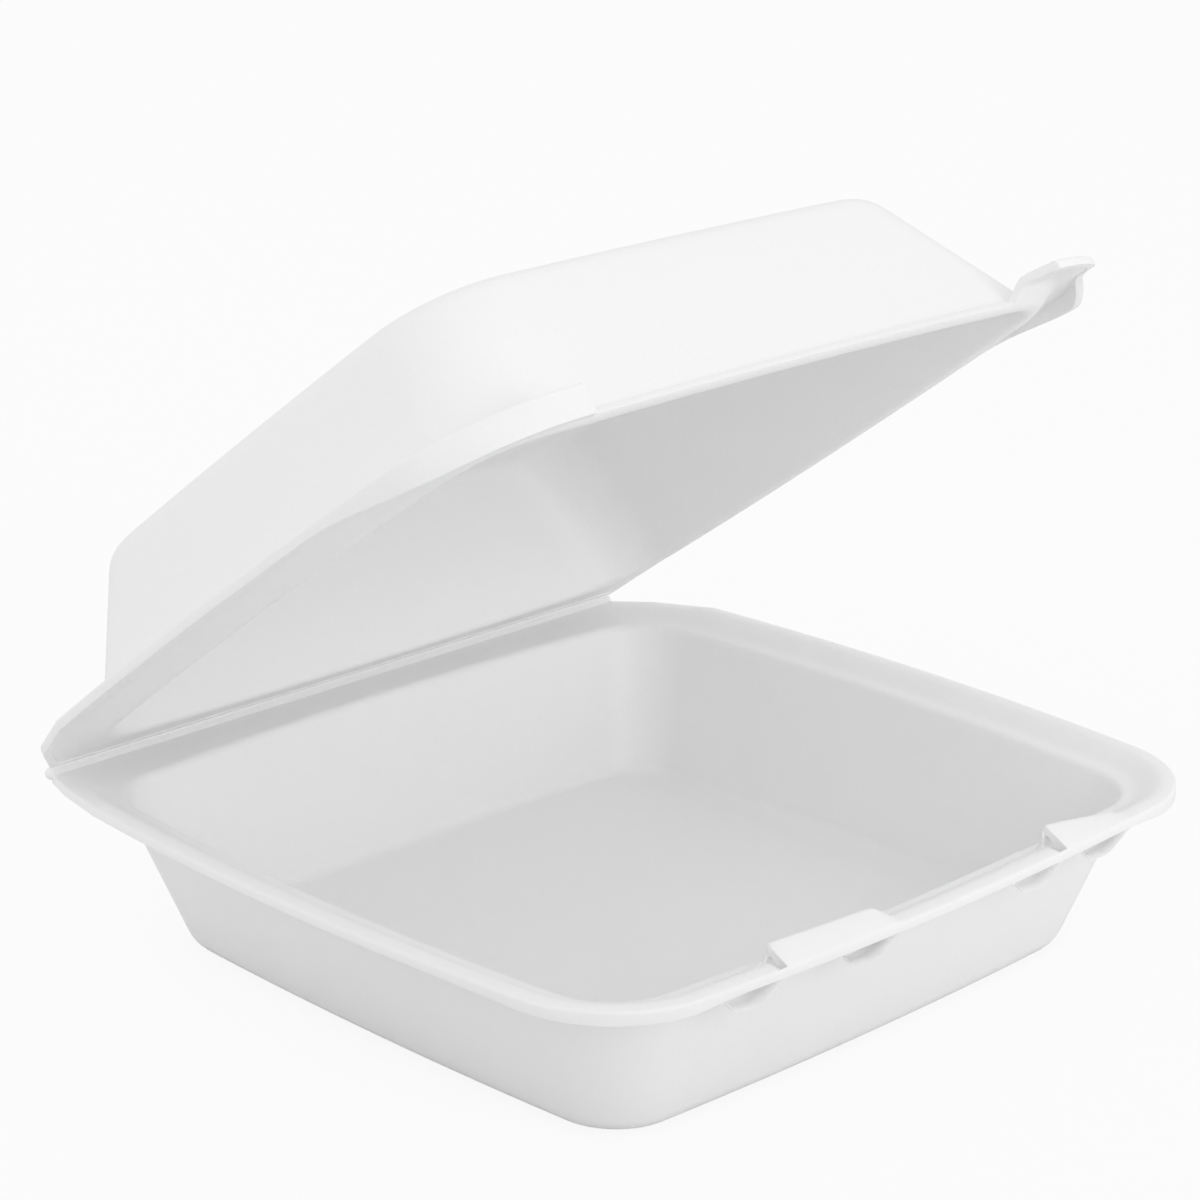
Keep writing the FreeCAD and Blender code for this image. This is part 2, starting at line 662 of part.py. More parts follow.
tab_sections = [
    tab_section(lid, "tab_left", TAB_START, front_at(TAB_START, "0"), TAB_REACH, "0"),
    tab_section(lid, "tab_middle", TAB_MIDDLE, TAB_MIDDLE_INNER, TAB_REACH,
                f"{cell('tab_droop')} / 2"),
    tab_section(lid, "tab_right", f"{TAB_END} - {GAUGE} / 2", TAB_END_INNER,
                f"{TAB_END_INNER} - {cell('ridge_inset')}", cell("tab_droop")),
]
loft(lid, "Additive", "lift_tab", tab_sections)

lid.setExpression(
    "Placement",
    f"placement(vector(0; 0; 0); rotation(vector(1; 0; 0); -{cell('open_angle')});"
    f" vector(0; {HINGE_Y}; {CREASE}))",
)

doc.recompute()
failed = [item.Name for item in doc.Objects if {"Invalid", "Error"} & set(item.State)]
if failed:
    raise RuntimeError(f"these features failed: {failed}")
os.makedirs("parts", exist_ok=True)
for body in (tray, lid):
    shape = body.Shape
    if shape.isNull() or not shape.isValid() or len(shape.Solids) != 1:
        raise RuntimeError(f"{body.Label} is not one valid solid")
    shape.exportStep(f"parts/{body.Label}.step")
    print(body.Label, round(shape.Volume), "mm3")
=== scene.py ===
import math

import bmesh
import bpy
import numpy as np
from mathutils import Matrix, Vector


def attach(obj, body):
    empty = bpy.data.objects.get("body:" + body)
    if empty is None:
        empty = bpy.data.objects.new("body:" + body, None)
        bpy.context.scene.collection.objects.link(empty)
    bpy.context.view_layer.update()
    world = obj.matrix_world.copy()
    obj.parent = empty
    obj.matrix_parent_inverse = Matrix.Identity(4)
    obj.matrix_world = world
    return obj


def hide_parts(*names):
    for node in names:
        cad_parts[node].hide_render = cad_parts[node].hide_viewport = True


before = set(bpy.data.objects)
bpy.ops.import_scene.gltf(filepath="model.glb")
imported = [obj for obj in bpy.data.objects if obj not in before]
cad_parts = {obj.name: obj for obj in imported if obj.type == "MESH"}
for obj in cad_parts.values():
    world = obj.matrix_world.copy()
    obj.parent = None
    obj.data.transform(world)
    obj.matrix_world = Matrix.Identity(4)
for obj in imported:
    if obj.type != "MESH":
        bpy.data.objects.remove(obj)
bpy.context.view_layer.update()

# Base tray. The real piece is one sheet of white polystyrene foam, heated and pressed
# into a mould: a deep square tray with a raised rim, two latch hoods at the front and a
# flat web to the fold at the back. Sizes are in millimetres.

MM = 0.001
RIM = dict(width=235.0, depth=220.0, side_bow=7.0, end_bow=6.0, corner=33.0)
BASE = dict(width=178.0, depth=169.0, side_bow=3.0, end_bow=3.0, corner=17.0)
SHEET = 2.2
WALL_SHEET = 2.35
CREASE = 42.0
RIDGE = 46.0
LIP = 45.5
CREASE_INSET = 10.5
RIDGE_INSET = 4.3
WALL_INSET = 14.0

# The rim runs out to the fold in two stretches, keeping these shares of its height.
HINGE_Y = 110.5
HINGE_HALF = 102.0
RUNOUT_MIDDLE = 97.0
RUNOUT_SHARES = (1.0, 0.5, 0.0)

# How much of the way to the wall the crease, ridge and inner lip may lie at the back.
CREASE_REACH = 0.75
RIDGE_REACH = 0.4
INNER_REACH = 0.12

# The turned-down edge is low, and deeper by a little round the two front corners.
EDGE_HEIGHT = 2.3
EDGE_CORNER_EXTRA = 1.1
EDGE_SPARE = 0.2
CORNER_DEPTHS = (46.0, 96.0)
CORNER_ASIDES = (70.0, 90.0)
FRONT_Y = -90.0

# A hood is open at its left end, the start, and slopes into the rim at its right end.
LATCHES = (
    dict(side="left", place=-41.0, half=18.0, start_rise=1.0, end_rise=0.8),
    dict(side="right", place=55.5, half=13.0, start_rise=1.25, end_rise=0.35),
)
LATCH_TOP = 49.8
LATCH_INSET = 8.0
LATCH_RAMP = 5.0
HOOD_STEP = 2.6
HOOD_BLEND = 1.0
HOOD_LEAN = 0.5
HOOD_FOOT_RISE = 0.8
MOUTH_PLACE = 0.3
MOUTH_HALF = 1.4

# The underside's bends lie this much further out, so that the sheet keeps its gauge.
BEND_SHIFT = 0.7
FACE_ROUNDS = (0, 3.4, 2.5, 2.0, 1.8, 0.9)
BACK_ROUNDS = (0, 4.9, 1.0, 1.0, 1.5, 0.6)
ROUND_STEPS = (0, 6, 4, 4, 4, 4)
EXTRA_ROWS = 3
COLUMNS = dict(side=70, corner=36, front=320, rear=60)

FOAM_TONE = (0.94, 0.94, 0.94)
FOAM_ROUGHNESS = 0.36
FOAM_GLOSS = 0.4
PEBBLES = dict(scale=900.0, detail=2.0, strength=0.5, depth=0.0002)
WAVES = dict(scale=28.0, detail=1.0, strength=0.25, depth=0.002)


def outline_arcs(size):
    """Centres, radii and end angles of the eight tangent arcs of a bowed square.

    Each side is an arc that rises by its bow over the straight chord between the two
    neighbouring sides, and each corner arc touches the two side arcs from inside.
    """
    half_width, half_depth = size["width"] / 2, size["depth"] / 2
    side_chord = half_depth - size["end_bow"]
    end_chord = half_width - size["side_bow"]
    side = (side_chord ** 2 + size["side_bow"] ** 2) / (2 * size["side_bow"])
    end = (end_chord ** 2 + size["end_bow"] ** 2) / (2 * size["end_bow"])
    side_x, end_y = half_width - side, half_depth - end
    corner = size["corner"]
    apart = math.hypot(side_x, end_y)
    reach = ((side - corner) ** 2 - (end - corner) ** 2 + apart ** 2) / (2 * apart)
    rise = math.sqrt((side - corner) ** 2 - reach ** 2)
    corner_x = side_x - side_x / apart * reach - end_y / apart * rise
    corner_y = end_y / apart * reach - side_x / apart * rise
    low = math.atan2(corner_y, corner_x - side_x)
    high = math.atan2(corner_y - end_y, corner_x)
    return dict(side=side, end=end, corner=corner, side_x=side_x, end_y=end_y,
                corner_x=corner_x, corner_y=corner_y, low=low, high=high)


def arc_fractions():
    """Where the columns stand on each of the eight arcs, from 0 at its start to 1."""
    even = {kind: np.arange(count) / count for kind, count in COLUMNS.items()}
    order = ("side", "corner", "rear", "corner", "side", "corner", "front", "corner")
    return [even[kind] for kind in order]


def outline(size, inset):
    """Points of the bowed outline, drawn in by inset, anticlockwise from the right side.

    A point is its arc's centre plus the arc's radius times the direction of its angle.
    """
    arcs = outline_arcs(size)
    quarter, low, high = math.pi / 2, arcs["low"], arcs["high"]
    x, y = arcs["corner_x"], arcs["corner_y"]
    pieces = [
        ((arcs["side_x"], 0.0), arcs["side"], -low, low),
        ((x, y), arcs["corner"], low, high),
        ((0.0, arcs["end_y"]), arcs["end"], high, 2 * quarter - high),
        ((-x, y), arcs["corner"], 2 * quarter - high, 2 * quarter - low),
        ((-arcs["side_x"], 0.0), arcs["side"], 2 * quarter - low, 2 * quarter + low),
        ((-x, -y), arcs["corner"], 2 * quarter + low, 2 * quarter + high),
        ((0.0, -arcs["end_y"]), arcs["end"], 2 * quarter + high, 4 * quarter - high),
        ((x, -y), arcs["corner"], 4 * quarter - high, 4 * quarter - low),
    ]
    centres, radii, angles = [], [], []
    for (centre, radius, start, end), fraction in zip(pieces, arc_fractions()):
        centres.append(np.tile(centre, (len(fraction), 1)))
        radii.append(np.full(len(fraction), radius))
        angles.append(start + fraction * (end - start))
    angle = np.concatenate(angles)
    direction = np.stack([np.cos(angle), np.sin(angle)], axis=1)
    return np.concatenate(centres) + direction * (np.concatenate(radii) - inset)[:, None]


def ring(size, inset, level):
    """The outline drawn in by inset as points in space, at a level that may vary along it."""
    flat = outline(size, inset)
    return np.column_stack([flat, np.broadcast_to(level, len(flat))])


def smooth_step(low, high, value):
    """0 below low, 1 above high and a smooth cubic between."""
    share = np.clip((value - low) / (high - low), 0.0, 1.0)
    return share * share * (3.0 - 2.0 * share)


def rounded_run(corners, rounds, steps):
    """Rows of points along a run of corners, one run for each column.

    At an inner corner the run leaves its straight stretch a round's length before the
    corner and joins the next as far after it, along a parabola with the corner as its
    control point. No round takes more than 0.48 of a stretch.
    """
    rows = [corners[0]]
    for index in range(1, len(corners) - 1):
        before, corner, after = corners[index - 1:index + 2]
        back, ahead = before - corner, after - corner
        back_length = np.linalg.norm(back, axis=1, keepdims=True)
        ahead_length = np.linalg.norm(ahead, axis=1, keepdims=True)
        trim = np.minimum(np.minimum(rounds[index], 0.48 * back_length), 0.48 * ahead_length)
        start = corner + back / np.maximum(back_length, 1e-9) * trim
        end = corner + ahead / np.maximum(ahead_length, 1e-9) * trim
        for share in np.linspace(0.0, 1.0, steps[index] + 1):
            rows.append((1 - share) ** 2 * start + 2 * share * (1 - share) * corner
                        + share ** 2 * end)
    rows.append(corners[-1])
    return np.stack(rows, axis=1)


def split_rows(run, start, count):
    """The run with count further rows spread evenly after the row at start."""
    shares = np.linspace(0.0, 1.0, count + 2)[1:-1]
    extra = [run[:, start] * (1 - share) + run[:, start + 1] * share for share in shares]
    return np.concatenate([run[:, :start + 1], np.stack(extra, axis=1), run[:, start + 1:]],
                          axis=1)


def formed_run(corners, rounds):
    """A rounded run with further rows on the flat middle and on the wall."""
    run = rounded_run(corners, rounds, ROUND_STEPS)
    wall_row = 1 + ROUND_STEPS[1]
    return split_rows(split_rows(run, wall_row, EXTRA_ROWS), 0, EXTRA_ROWS)


def finished_piece(name, points, faces):
    """A smooth-shaded piece of the points and faces, welded and facing outward."""
    mesh = bpy.data.meshes.new(name)
    mesh.from_pydata(points, [], faces)
    piece = bpy.data.objects.new(name, mesh)
    bpy.context.collection.objects.link(piece)
    tidy = bmesh.new()
    tidy.from_mesh(mesh)
    bmesh.ops.remove_doubles(tidy, verts=tidy.verts, dist=1e-6)
    loose = [vert for vert in tidy.verts if not vert.link_faces]
    bmesh.ops.delete(tidy, geom=loose, context="VERTS")
    bmesh.ops.recalc_face_normals(tidy, faces=tidy.faces)
    tidy.to_mesh(mesh)
    tidy.free()
    mesh.polygons.foreach_set("use_smooth", np.ones(len(mesh.polygons), bool))
    return piece


def closed_sheet(name, face, back, kept):
    """A sheet from two matched grids of points, columns by rows, closed along every edge.

    Where a cell isn't kept, the sheet is cut away, and the cut is closed by a strip
    between the two faces. The columns run round, and the first row of both faces meets
    in a point or a line.
    """
    columns, rows = face.shape[:2]
    points = np.concatenate([face.reshape(-1, 3), back.reshape(-1, 3)]) * MM
    number = np.arange(columns * rows).reshape(columns, rows)
    after = np.roll(number, -1, axis=0)
    quads = np.stack([number[:, :-1], number[:, 1:], after[:, 1:], after[:, :-1]], axis=2)
    other = columns * rows
    faces = [quads[kept], quads[kept][:, ::-1] + other]
    last = kept & ~np.concatenate([kept[:, 1:], np.zeros((columns, 1), bool)], axis=1)
    edge = np.stack([number[:, 1:], number[:, 1:] + other, after[:, 1:] + other, after[:, 1:]],
                    axis=2)
    faces.append(edge[last])
    before = np.roll(kept, 1, axis=0)
    end = np.stack([number[:, :-1], number[:, :-1] + other, number[:, 1:] + other, number[:, 1:]],
                   axis=2)
    faces.append(end[kept & ~before])
    faces.append(end[before & ~kept][:, ::-1])
    return finished_piece(name, points, np.concatenate(faces).tolist())


def soft_edges(piece, width):
    """Round the sheet's cut edges."""
    bevel = piece.modifiers.new("soft_edges", "BEVEL")
    bevel.width = width * MM
    bevel.segments = 3
    bevel.limit_method = "ANGLE"
    bevel.angle_limit = math.radians(50)


def noise_bump(nodes, links, place, relief):
    """A bump node raised by a noise pattern on the piece's own coordinates."""
    noise = nodes.new("ShaderNodeTexNoise")
    noise.inputs["Scale"].default_value = relief["scale"]
    noise.inputs["Detail"].default_value = relief["detail"]
    bump = nodes.new("ShaderNodeBump")
    bump.inputs["Strength"].default_value = relief["strength"]
    bump.inputs["Distance"].default_value = relief["depth"]
    links.new(place.outputs["Object"], noise.inputs["Vector"])
    links.new(noise.outputs["Fac"], bump.inputs["Height"])
    return bump


def foam_material(name):
    """Satin skin of pressed foam: fine pebbles, a slow waviness and a dull gloss."""
    material = bpy.data.materials.new(name)
    material.use_nodes = True
    nodes, links = material.node_tree.nodes, material.node_tree.links
    shader = nodes["Principled BSDF"]
    shader.inputs["Base Color"].default_value = (*FOAM_TONE, 1.0)
    shader.inputs["Roughness"].default_value = FOAM_ROUGHNESS
    shader.inputs["Specular IOR Level"].default_value = FOAM_GLOSS
    place = nodes.new("ShaderNodeTexCoord")
    slow = noise_bump(nodes, links, place, WAVES)
    fine = noise_bump(nodes, links, place, PEBBLES)
    links.new(slow.outputs["Normal"], fine.inputs["Normal"])
    links.new(fine.outputs["Normal"], shader.inputs["Normal"])
    return material


flat_rim = outline(RIM, 0.0)
along, across = flat_rim[:, 0], flat_rim[:, 1]
column_count = len(along)
side_count, corner_count, rear_count = COLUMNS["side"], COLUMNS["corner"], COLUMNS["rear"]
rear_columns = np.arange(side_count, side_count + 2 * corner_count + rear_count)
in_front = across < FRONT_Y
cell_x = (along + np.roll(along, -1)) / 2


def fold_edge(middle, end):
    """Outer edge of the rear columns: out along the right run-out, along the fold, and back.

    The run-out goes in straight stretches through its middle to the end of the fold,
    and the columns are shared out by length.
    """
    start = flat_rim[rear_columns[0]]
    fold_start = (flat_rim[side_count + corner_count, 0], end[1])
    path = np.array([start, middle, end, fold_start])
    stretches = np.linalg.norm(np.diff(path, axis=0), axis=1)
    lengths = np.concatenate([[0.0], np.cumsum(stretches)])
    spot = np.arange(corner_count) / corner_count * lengths[-1]
    right = np.column_stack([np.interp(spot, lengths, path[:, axis]) for axis in range(2)])
    share = np.arange(rear_count + 1) / rear_count
    fold = np.column_stack([fold_start[0] * (1 - 2 * share), np.full(rear_count + 1, end[1])])
    left = (right * (-1, 1))[:0:-1]
    return np.concatenate([right, fold, left])


def rim_line(inset, level, edge, edge_inset, reach, back_level):
    """One line of the rim, from the right side round.

    Round the front and sides it is the outline drawn in by inset. At the back it lies
    inward of the edge line by as much, measured across, up to its reach of the way to
    the wall.
    """
    line = ring(RIM, inset, level)
    run = outline(RIM, WALL_INSET)[rear_columns] - edge
    length = np.linalg.norm(run, axis=1, keepdims=True)
    inset_back = np.broadcast_to(inset, column_count)[rear_columns][:, None] - edge_inset
    off = np.minimum(inset_back / np.maximum(np.abs(run[:, :1]) / length, 0.5), reach * length)
    line[rear_columns, :2] = edge + run / length * off
    line[rear_columns, 2] = back_level
    return line


def hood_share():
    """How high the hoods stand over the ridge at each column, as a share of the full rise.

    A hood steps up at its open end and slopes down over the ramp at its other end.
    """
    share = np.zeros(column_count)
    for latch in LATCHES:
        aside, half = along - latch["place"], latch["half"]
        rise = np.interp(aside, [-half, half], [latch["start_rise"], latch["end_rise"]])
        step_up = smooth_step(-half - HOOD_BLEND, -half + HOOD_STEP, aside)
        slope_down = smooth_step(half - HOOD_BLEND, half + LATCH_RAMP, aside)
        share = np.maximum(share, rise * (step_up * (1.0 - slope_down)))
    return np.where(in_front, share, 0.0)


tray_start = flat_rim[side_count]
tray_middle = np.array([(tray_start[0] + HINGE_HALF) / 2, RUNOUT_MIDDLE])
tray_edge = fold_edge(tray_middle, (HINGE_HALF, HINGE_Y))
fade = np.interp(tray_edge[:, 1], [tray_start[1], RUNOUT_MIDDLE, HINGE_Y], RUNOUT_SHARES)

hood = hood_share()
inward = np.minimum(hood, 1.0)
crease_in = CREASE_INSET * (1 - inward) + (LATCH_INSET + HOOD_LEAN) * inward
crease_up = HOOD_FOOT_RISE * inward
ridge_in = RIDGE_INSET * (1 - inward) + LATCH_INSET * inward
ridge_up = RIDGE * (1 - hood) + LATCH_TOP * hood
corner_share = (smooth_step(*CORNER_DEPTHS, -across)
                * smooth_step(*CORNER_ASIDES, np.abs(along)))
edge_foot = LIP - (EDGE_HEIGHT + EDGE_CORNER_EXTRA * corner_share)
wall_lean = ((RIM["width"] - BASE["width"]) / 2 - WALL_INSET + WALL_SHEET) / CREASE
ridge_back = (RIDGE - CREASE) * fade
lip_back = CREASE + (LIP - CREASE) * fade
foot_back = lip_back - SHEET - EDGE_SPARE

floor_centre = np.tile((0.0, 0.0, SHEET), (column_count, 1))
face_corners = [
    floor_centre,
    ring(BASE, WALL_SHEET - SHEET * wall_lean, SHEET),
    ring(RIM, WALL_INSET, CREASE),
    rim_line(crease_in, CREASE + crease_up, tray_edge, 0.0, CREASE_REACH, CREASE),
    rim_line(ridge_in, ridge_up, tray_edge, 0.0, RIDGE_REACH, CREASE + ridge_back),
    rim_line(0.0, LIP, tray_edge, 0.0, 0.0, lip_back),
    rim_line(0.0, edge_foot, tray_edge, 0.0, 0.0, foot_back),
]
back_corners = [
    floor_centre * (1, 1, 0),
    ring(BASE, 0.0, 0.0),
    ring(RIM, WALL_INSET - WALL_SHEET + SHEET * wall_lean, CREASE - SHEET),
    rim_line(crease_in - BEND_SHIFT, CREASE - SHEET + crease_up, tray_edge, 0.0, CREASE_REACH,
             CREASE - SHEET),
    rim_line(ridge_in - BEND_SHIFT, ridge_up - SHEET, tray_edge, 0.0, RIDGE_REACH,
             CREASE - SHEET + ridge_back),
    rim_line(SHEET, LIP - SHEET, tray_edge, 0.0, INNER_REACH, lip_back - SHEET),
    rim_line(SHEET, edge_foot, tray_edge, 0.0, INNER_REACH, foot_back),
]
face_run = formed_run(face_corners, FACE_ROUNDS)
back_run = formed_run(back_corners, BACK_ROUNDS)

# Rows of cells, counted outward from the middle: the ledge before the crease, then the
# slopes to the ridge and to the lip.
LEDGE_ROW = 2 * EXTRA_ROWS + 2 + ROUND_STEPS[1] + ROUND_STEPS[2]
CREASE_ROW = LEDGE_ROW + 1 + ROUND_STEPS[3]
RIDGE_ROW = CREASE_ROW + 1
LIP_ROW = RIDGE_ROW + 1 + ROUND_STEPS[4]

tray_kept = np.ones((column_count, face_run.shape[1] - 1), bool)
for latch in LATCHES:
    mouth = latch["place"] - latch["half"] + MOUTH_PLACE
    tray_kept[in_front & (np.abs(cell_x - mouth) < MOUTH_HALF), RIDGE_ROW:LIP_ROW + 1] = False
tray = closed_sheet("tray_sheet", face_run, back_run, tray_kept)
soft_edges(tray, 0.5)
foam = foam_material("white_foam_skin")
tray.data.materials.append(foam)
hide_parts("base_tray")
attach(tray, "tray")

# Latch scoops. Beside and below each hood the turned-down edge is drawn into a curved
# flap: thin foam, pressed in the same stroke as the tray. It starts inward, under the
# rim, hangs below it, and sweeps out and up to meet the edge of the hood.

SCOOP_SHEET = 1.8
SCOOP_RUN = 16.0
SCOOP_TUCK = 2.0
SCOOP_OVERLAP = 14.0
SCOOP_STATIONS = 28
SCOOP_ROWS = 10
TOP_INSET = 7.4
TOP_LEVEL = 44.4
BEND_INSET = 7.0
BEND_DROP = 0.3
FOOT_INSETS = (3.4, 0.3)
FOOT_LEVELS = (40.5, 37.0, 43.3)
SKIN_IN = 0.6
SKIN_UP = 0.8
SKIN_TAPER = 0.2


def scoop_skin(name, start, end):
    """A curved flap between two places along the front.

    Across, it is a quadratic curve (1-s)^2 A + 2s(1-s) B + s^2 C from A under the rim
    to the foot C. The foot sinks soon after the start, t = 0, then sweeps out and up
    until the end, t = 1. The skin thins to nothing over the first third of the curve.
    """
    t = np.linspace(0.0, 1.0, SCOOP_STATIONS)[:, None]
    s = np.linspace(0.0, 1.0, SCOOP_ROWS)[None, :]
    x = start + (end - start) * t
    foot_inset = FOOT_INSETS[0] + (FOOT_INSETS[1] - FOOT_INSETS[0]) * smooth_step(0.2, 0.95, t)
    foot_level = (FOOT_LEVELS[0] + (FOOT_LEVELS[1] - FOOT_LEVELS[0]) * smooth_step(0.0, 0.3, t)
                  + (FOOT_LEVELS[2] - FOOT_LEVELS[1]) * smooth_step(0.45, 1.0, t))
    top, bend, foot = (1 - s) ** 2, 2 * s * (1 - s), s ** 2
    inset = top * TOP_INSET + bend * BEND_INSET + foot * foot_inset
    level = top * TOP_LEVEL + bend * (foot_level - BEND_DROP) + foot * foot_level
    order = np.argsort(along[in_front])
    front_y = np.interp(x, along[in_front][order], across[in_front][order])
    depth = SCOOP_SHEET * np.minimum(1.0, 3.0 * s)
    outer = np.stack([x + 0 * s, front_y + inset, level], axis=-1)
    inner = np.stack([x + 0 * s, front_y + inset + depth * SKIN_IN,
                      level + depth * SKIN_UP * (1 - SKIN_TAPER * s)], axis=-1)
    kept = np.ones((SCOOP_STATIONS, SCOOP_ROWS - 1), bool)
    kept[-1] = False
    skin = closed_sheet(name, inner, outer, kept)
    soft_edges(skin, 0.4)
    skin.data.materials.append(foam)
    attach(skin, "tray")


for latch in LATCHES:
    near_end = latch["place"] - latch["half"]
    far_end = latch["place"] + latch["half"]
    scoop_skin(latch["side"] + "_near_scoop", near_end - SCOOP_RUN, near_end + SCOOP_TUCK)
    scoop_skin(latch["side"] + "_far_scoop", far_end - SCOOP_OVERLAP, far_end + LATCH_RAMP)

# Fold bead. The sheet is pressed into a thin round bead along the back, where the lid
# turns. It is the same foam, and belongs to the tray.

BEAD_RADIUS = 1.7
BEAD_OVERHANG = 1.5
BEAD_SIDES = 24
BEAD_CAP_RINGS = 7


def rounded_rod(name, half, radius, centre_y, centre_z):
    """A rod along X: circles whose radius falls to nothing over a half round at each end."""
    sweep = np.linspace(0.0, math.pi / 2, BEAD_CAP_RINGS)
    ends = half - radius + radius * np.sin(sweep)
    stations = np.concatenate([-ends[::-1], ends])
    radii = radius * np.concatenate([np.cos(sweep)[::-1], np.cos(sweep)])
    turn = np.linspace(0.0, 2 * math.pi, BEAD_SIDES, endpoint=False)
    points = np.stack(np.broadcast_arrays(
        stations[:, None], centre_y + radii[:, None] * np.cos(turn),
        centre_z + radii[:, None] * np.sin(turn)), axis=2)
    number = np.arange(points.shape[0] * BEAD_SIDES).reshape(-1, BEAD_SIDES)
    after = np.roll(number, -1, axis=1)
    quads = np.stack([number[:-1], number[1:], after[1:], after[:-1]], axis=2).reshape(-1, 4)
    return finished_piece(name, points.reshape(-1, 3) * MM, quads.tolist())


bead = rounded_rod("fold_bead", HINGE_HALF + BEAD_OVERHANG, BEAD_RADIUS, HINGE_Y, CREASE)
bead.data.materials.append(foam)
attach(bead, "tray")

# Lid. It is pressed from the same sheet as the tray: a domed square with a rim that sits
# over the tray's, turned down deepest at the front corners and cut away between them, so
# that a narrow ledge can slip under the tray's latch hoods.

LID_TOP = dict(width=169.0, depth=171.0, side_bow=3.0, end_bow=3.0, corner=24.0)
LID_SETBACK = 5.5
LID_HEIGHT = 87.5
OPEN_ANGLE = 36.7
NOTCH_HALF = 80.0
SLIT_PLACE = -70.5
SLIT_HALF = 2.8

# Clearances to the tray: over its rim, outside its lip, at the fold and over its web.
RIM_GAP = 0.5
SKIRT_GAP = 0.9
FOLD_GAP = 0.3
WEB_SPARE = 0.15
LID_RUNOUT_SHARES = (1.0, 0.7, 0.25)
LID_RIDGE_REACH = 0.45
LID_EDGE = 2.6
LID_EDGE_EXTRA = 5.0

# The outer face's bends are shifted by these, so that the sheet keeps its gauge.
LID_WALL_SHIFT = 0.35
LID_WALL_RISE = 0.5
LID_CREASE_SHIFT = 0.5
OUT_ROUNDS = (0, 6.0, 1.5, 1.5, 2.0, 1.0)
IN_ROUNDS = (0, 4.5, 2.5, 2.0, 1.8, 0.7)

# At the right front corner the rim runs out into a flat tab to lift the lid by.
TAB_REACH = 4.7
TAB_DROOP = 0.8
TAB_START = 78.0
TAB_FADE = (96.0, 104.5)
TAB_DEPTHS = (86.0, 100.0)
TAB_ASIDES = (60.0, 78.0)


def opened(points, angle):
    """Points of the closed lid, swung back about the fold by an angle in degrees."""
    turn = math.radians(angle)
    y, z = points[..., 1] - HINGE_Y, points[..., 2] - CREASE
    return np.stack([points[..., 0], HINGE_Y + y * math.cos(turn) + z * math.sin(turn),
                     CREASE - y * math.sin(turn) + z * math.cos(turn)], axis=-1)


def lid_line(inset, level, reach, back_level):
    """A rim line of the lid, whose edge lies outside the tray's rim."""
    return rim_line(inset, level, lid_outer, -lid_out, reach, back_level)


lid_fold_y = HINGE_Y - BEAD_RADIUS - FOLD_GAP
lid_out = SKIRT_GAP + SHEET
lid_half = HINGE_HALF - SHEET
lid_lip = LIP + RIM_GAP + SHEET
lid_ridge = RIDGE + RIM_GAP + SHEET
lid_crease = CREASE + RIM_GAP + SHEET
lid_middle = np.array([tray_middle[0] + lid_out, RUNOUT_MIDDLE])
lid_outer = fold_edge(lid_middle, (lid_half + lid_out, lid_fold_y))
lid_outer[:corner_count, 0] += lid_out * (1 - np.clip(
    (lid_outer[:corner_count, 1] - tray_start[1]) / (RUNOUT_MIDDLE - tray_start[1]), 0, 1))
lid_outer[-corner_count + 1:] = (lid_outer[:corner_count] * (-1, 1))[:0:-1]
lid_fade = np.interp(lid_outer[:, 1], [tray_start[1], RUNOUT_MIDDLE, lid_fold_y],
                     LID_RUNOUT_SHARES)
web_top = CREASE + SHEET + FOLD_GAP + (RIM_GAP + WEB_SPARE - FOLD_GAP) * lid_fade
lid_ridge_back = (lid_ridge - lid_crease) * lid_fade
lid_lip_back = lid_crease + (lid_lip - lid_crease) * lid_fade

tab = np.where(in_front & (along > TAB_START), 1.0 - smooth_step(*TAB_FADE, along), 0.0)
tab_side = smooth_step(*TAB_DEPTHS, -across) * smooth_step(*TAB_ASIDES, along)
lid_edge = LID_EDGE + LID_EDGE_EXTRA * smooth_step(*CORNER_DEPTHS, -across)
lid_edge = lid_edge + (SHEET + EDGE_SPARE - lid_edge) * tab_side
tab_out = TAB_REACH * tab
lid_lip = lid_lip - TAB_DROOP * tab

dome_centre = np.tile((0.0, 0.0, LID_HEIGHT), (column_count, 1))
setback = (0.0, LID_SETBACK, 0.0)
out_corners = [
    dome_centre,
    ring(LID_TOP, 0.0, LID_HEIGHT) + setback,
    ring(RIM, WALL_INSET - WALL_SHEET + LID_WALL_SHIFT, lid_crease + LID_WALL_RISE),
    lid_line(CREASE_INSET + LID_CREASE_SHIFT, lid_crease, CREASE_REACH, web_top),
    lid_line(RIDGE_INSET, lid_ridge, LID_RIDGE_REACH, web_top + lid_ridge_back),
    lid_line(-lid_out - tab_out, lid_lip, 0.0, lid_lip_back),
    lid_line(-lid_out - tab_out, lid_lip - lid_edge, 0.0, lid_lip_back - LID_EDGE),
]
in_corners = [
    dome_centre - (0, 0, SHEET),
    ring(LID_TOP, WALL_SHEET, LID_HEIGHT - SHEET) + setback,
    ring(RIM, WALL_INSET, CREASE + RIM_GAP),
    lid_line(CREASE_INSET, CREASE + RIM_GAP, CREASE_REACH, web_top - SHEET),
    lid_line(RIDGE_INSET, RIDGE + RIM_GAP, LID_RIDGE_REACH, web_top - SHEET + lid_ridge_back),
    lid_line(-SKIRT_GAP - tab_out, lid_lip - SHEET, INNER_REACH, lid_lip_back - SHEET),
    lid_line(-SKIRT_GAP - tab_out, lid_lip - lid_edge, INNER_REACH, lid_lip_back - LID_EDGE),
]
out_run = opened(formed_run(out_corners, OUT_ROUNDS), OPEN_ANGLE)
in_run = opened(formed_run(in_corners, IN_ROUNDS), OPEN_ANGLE)

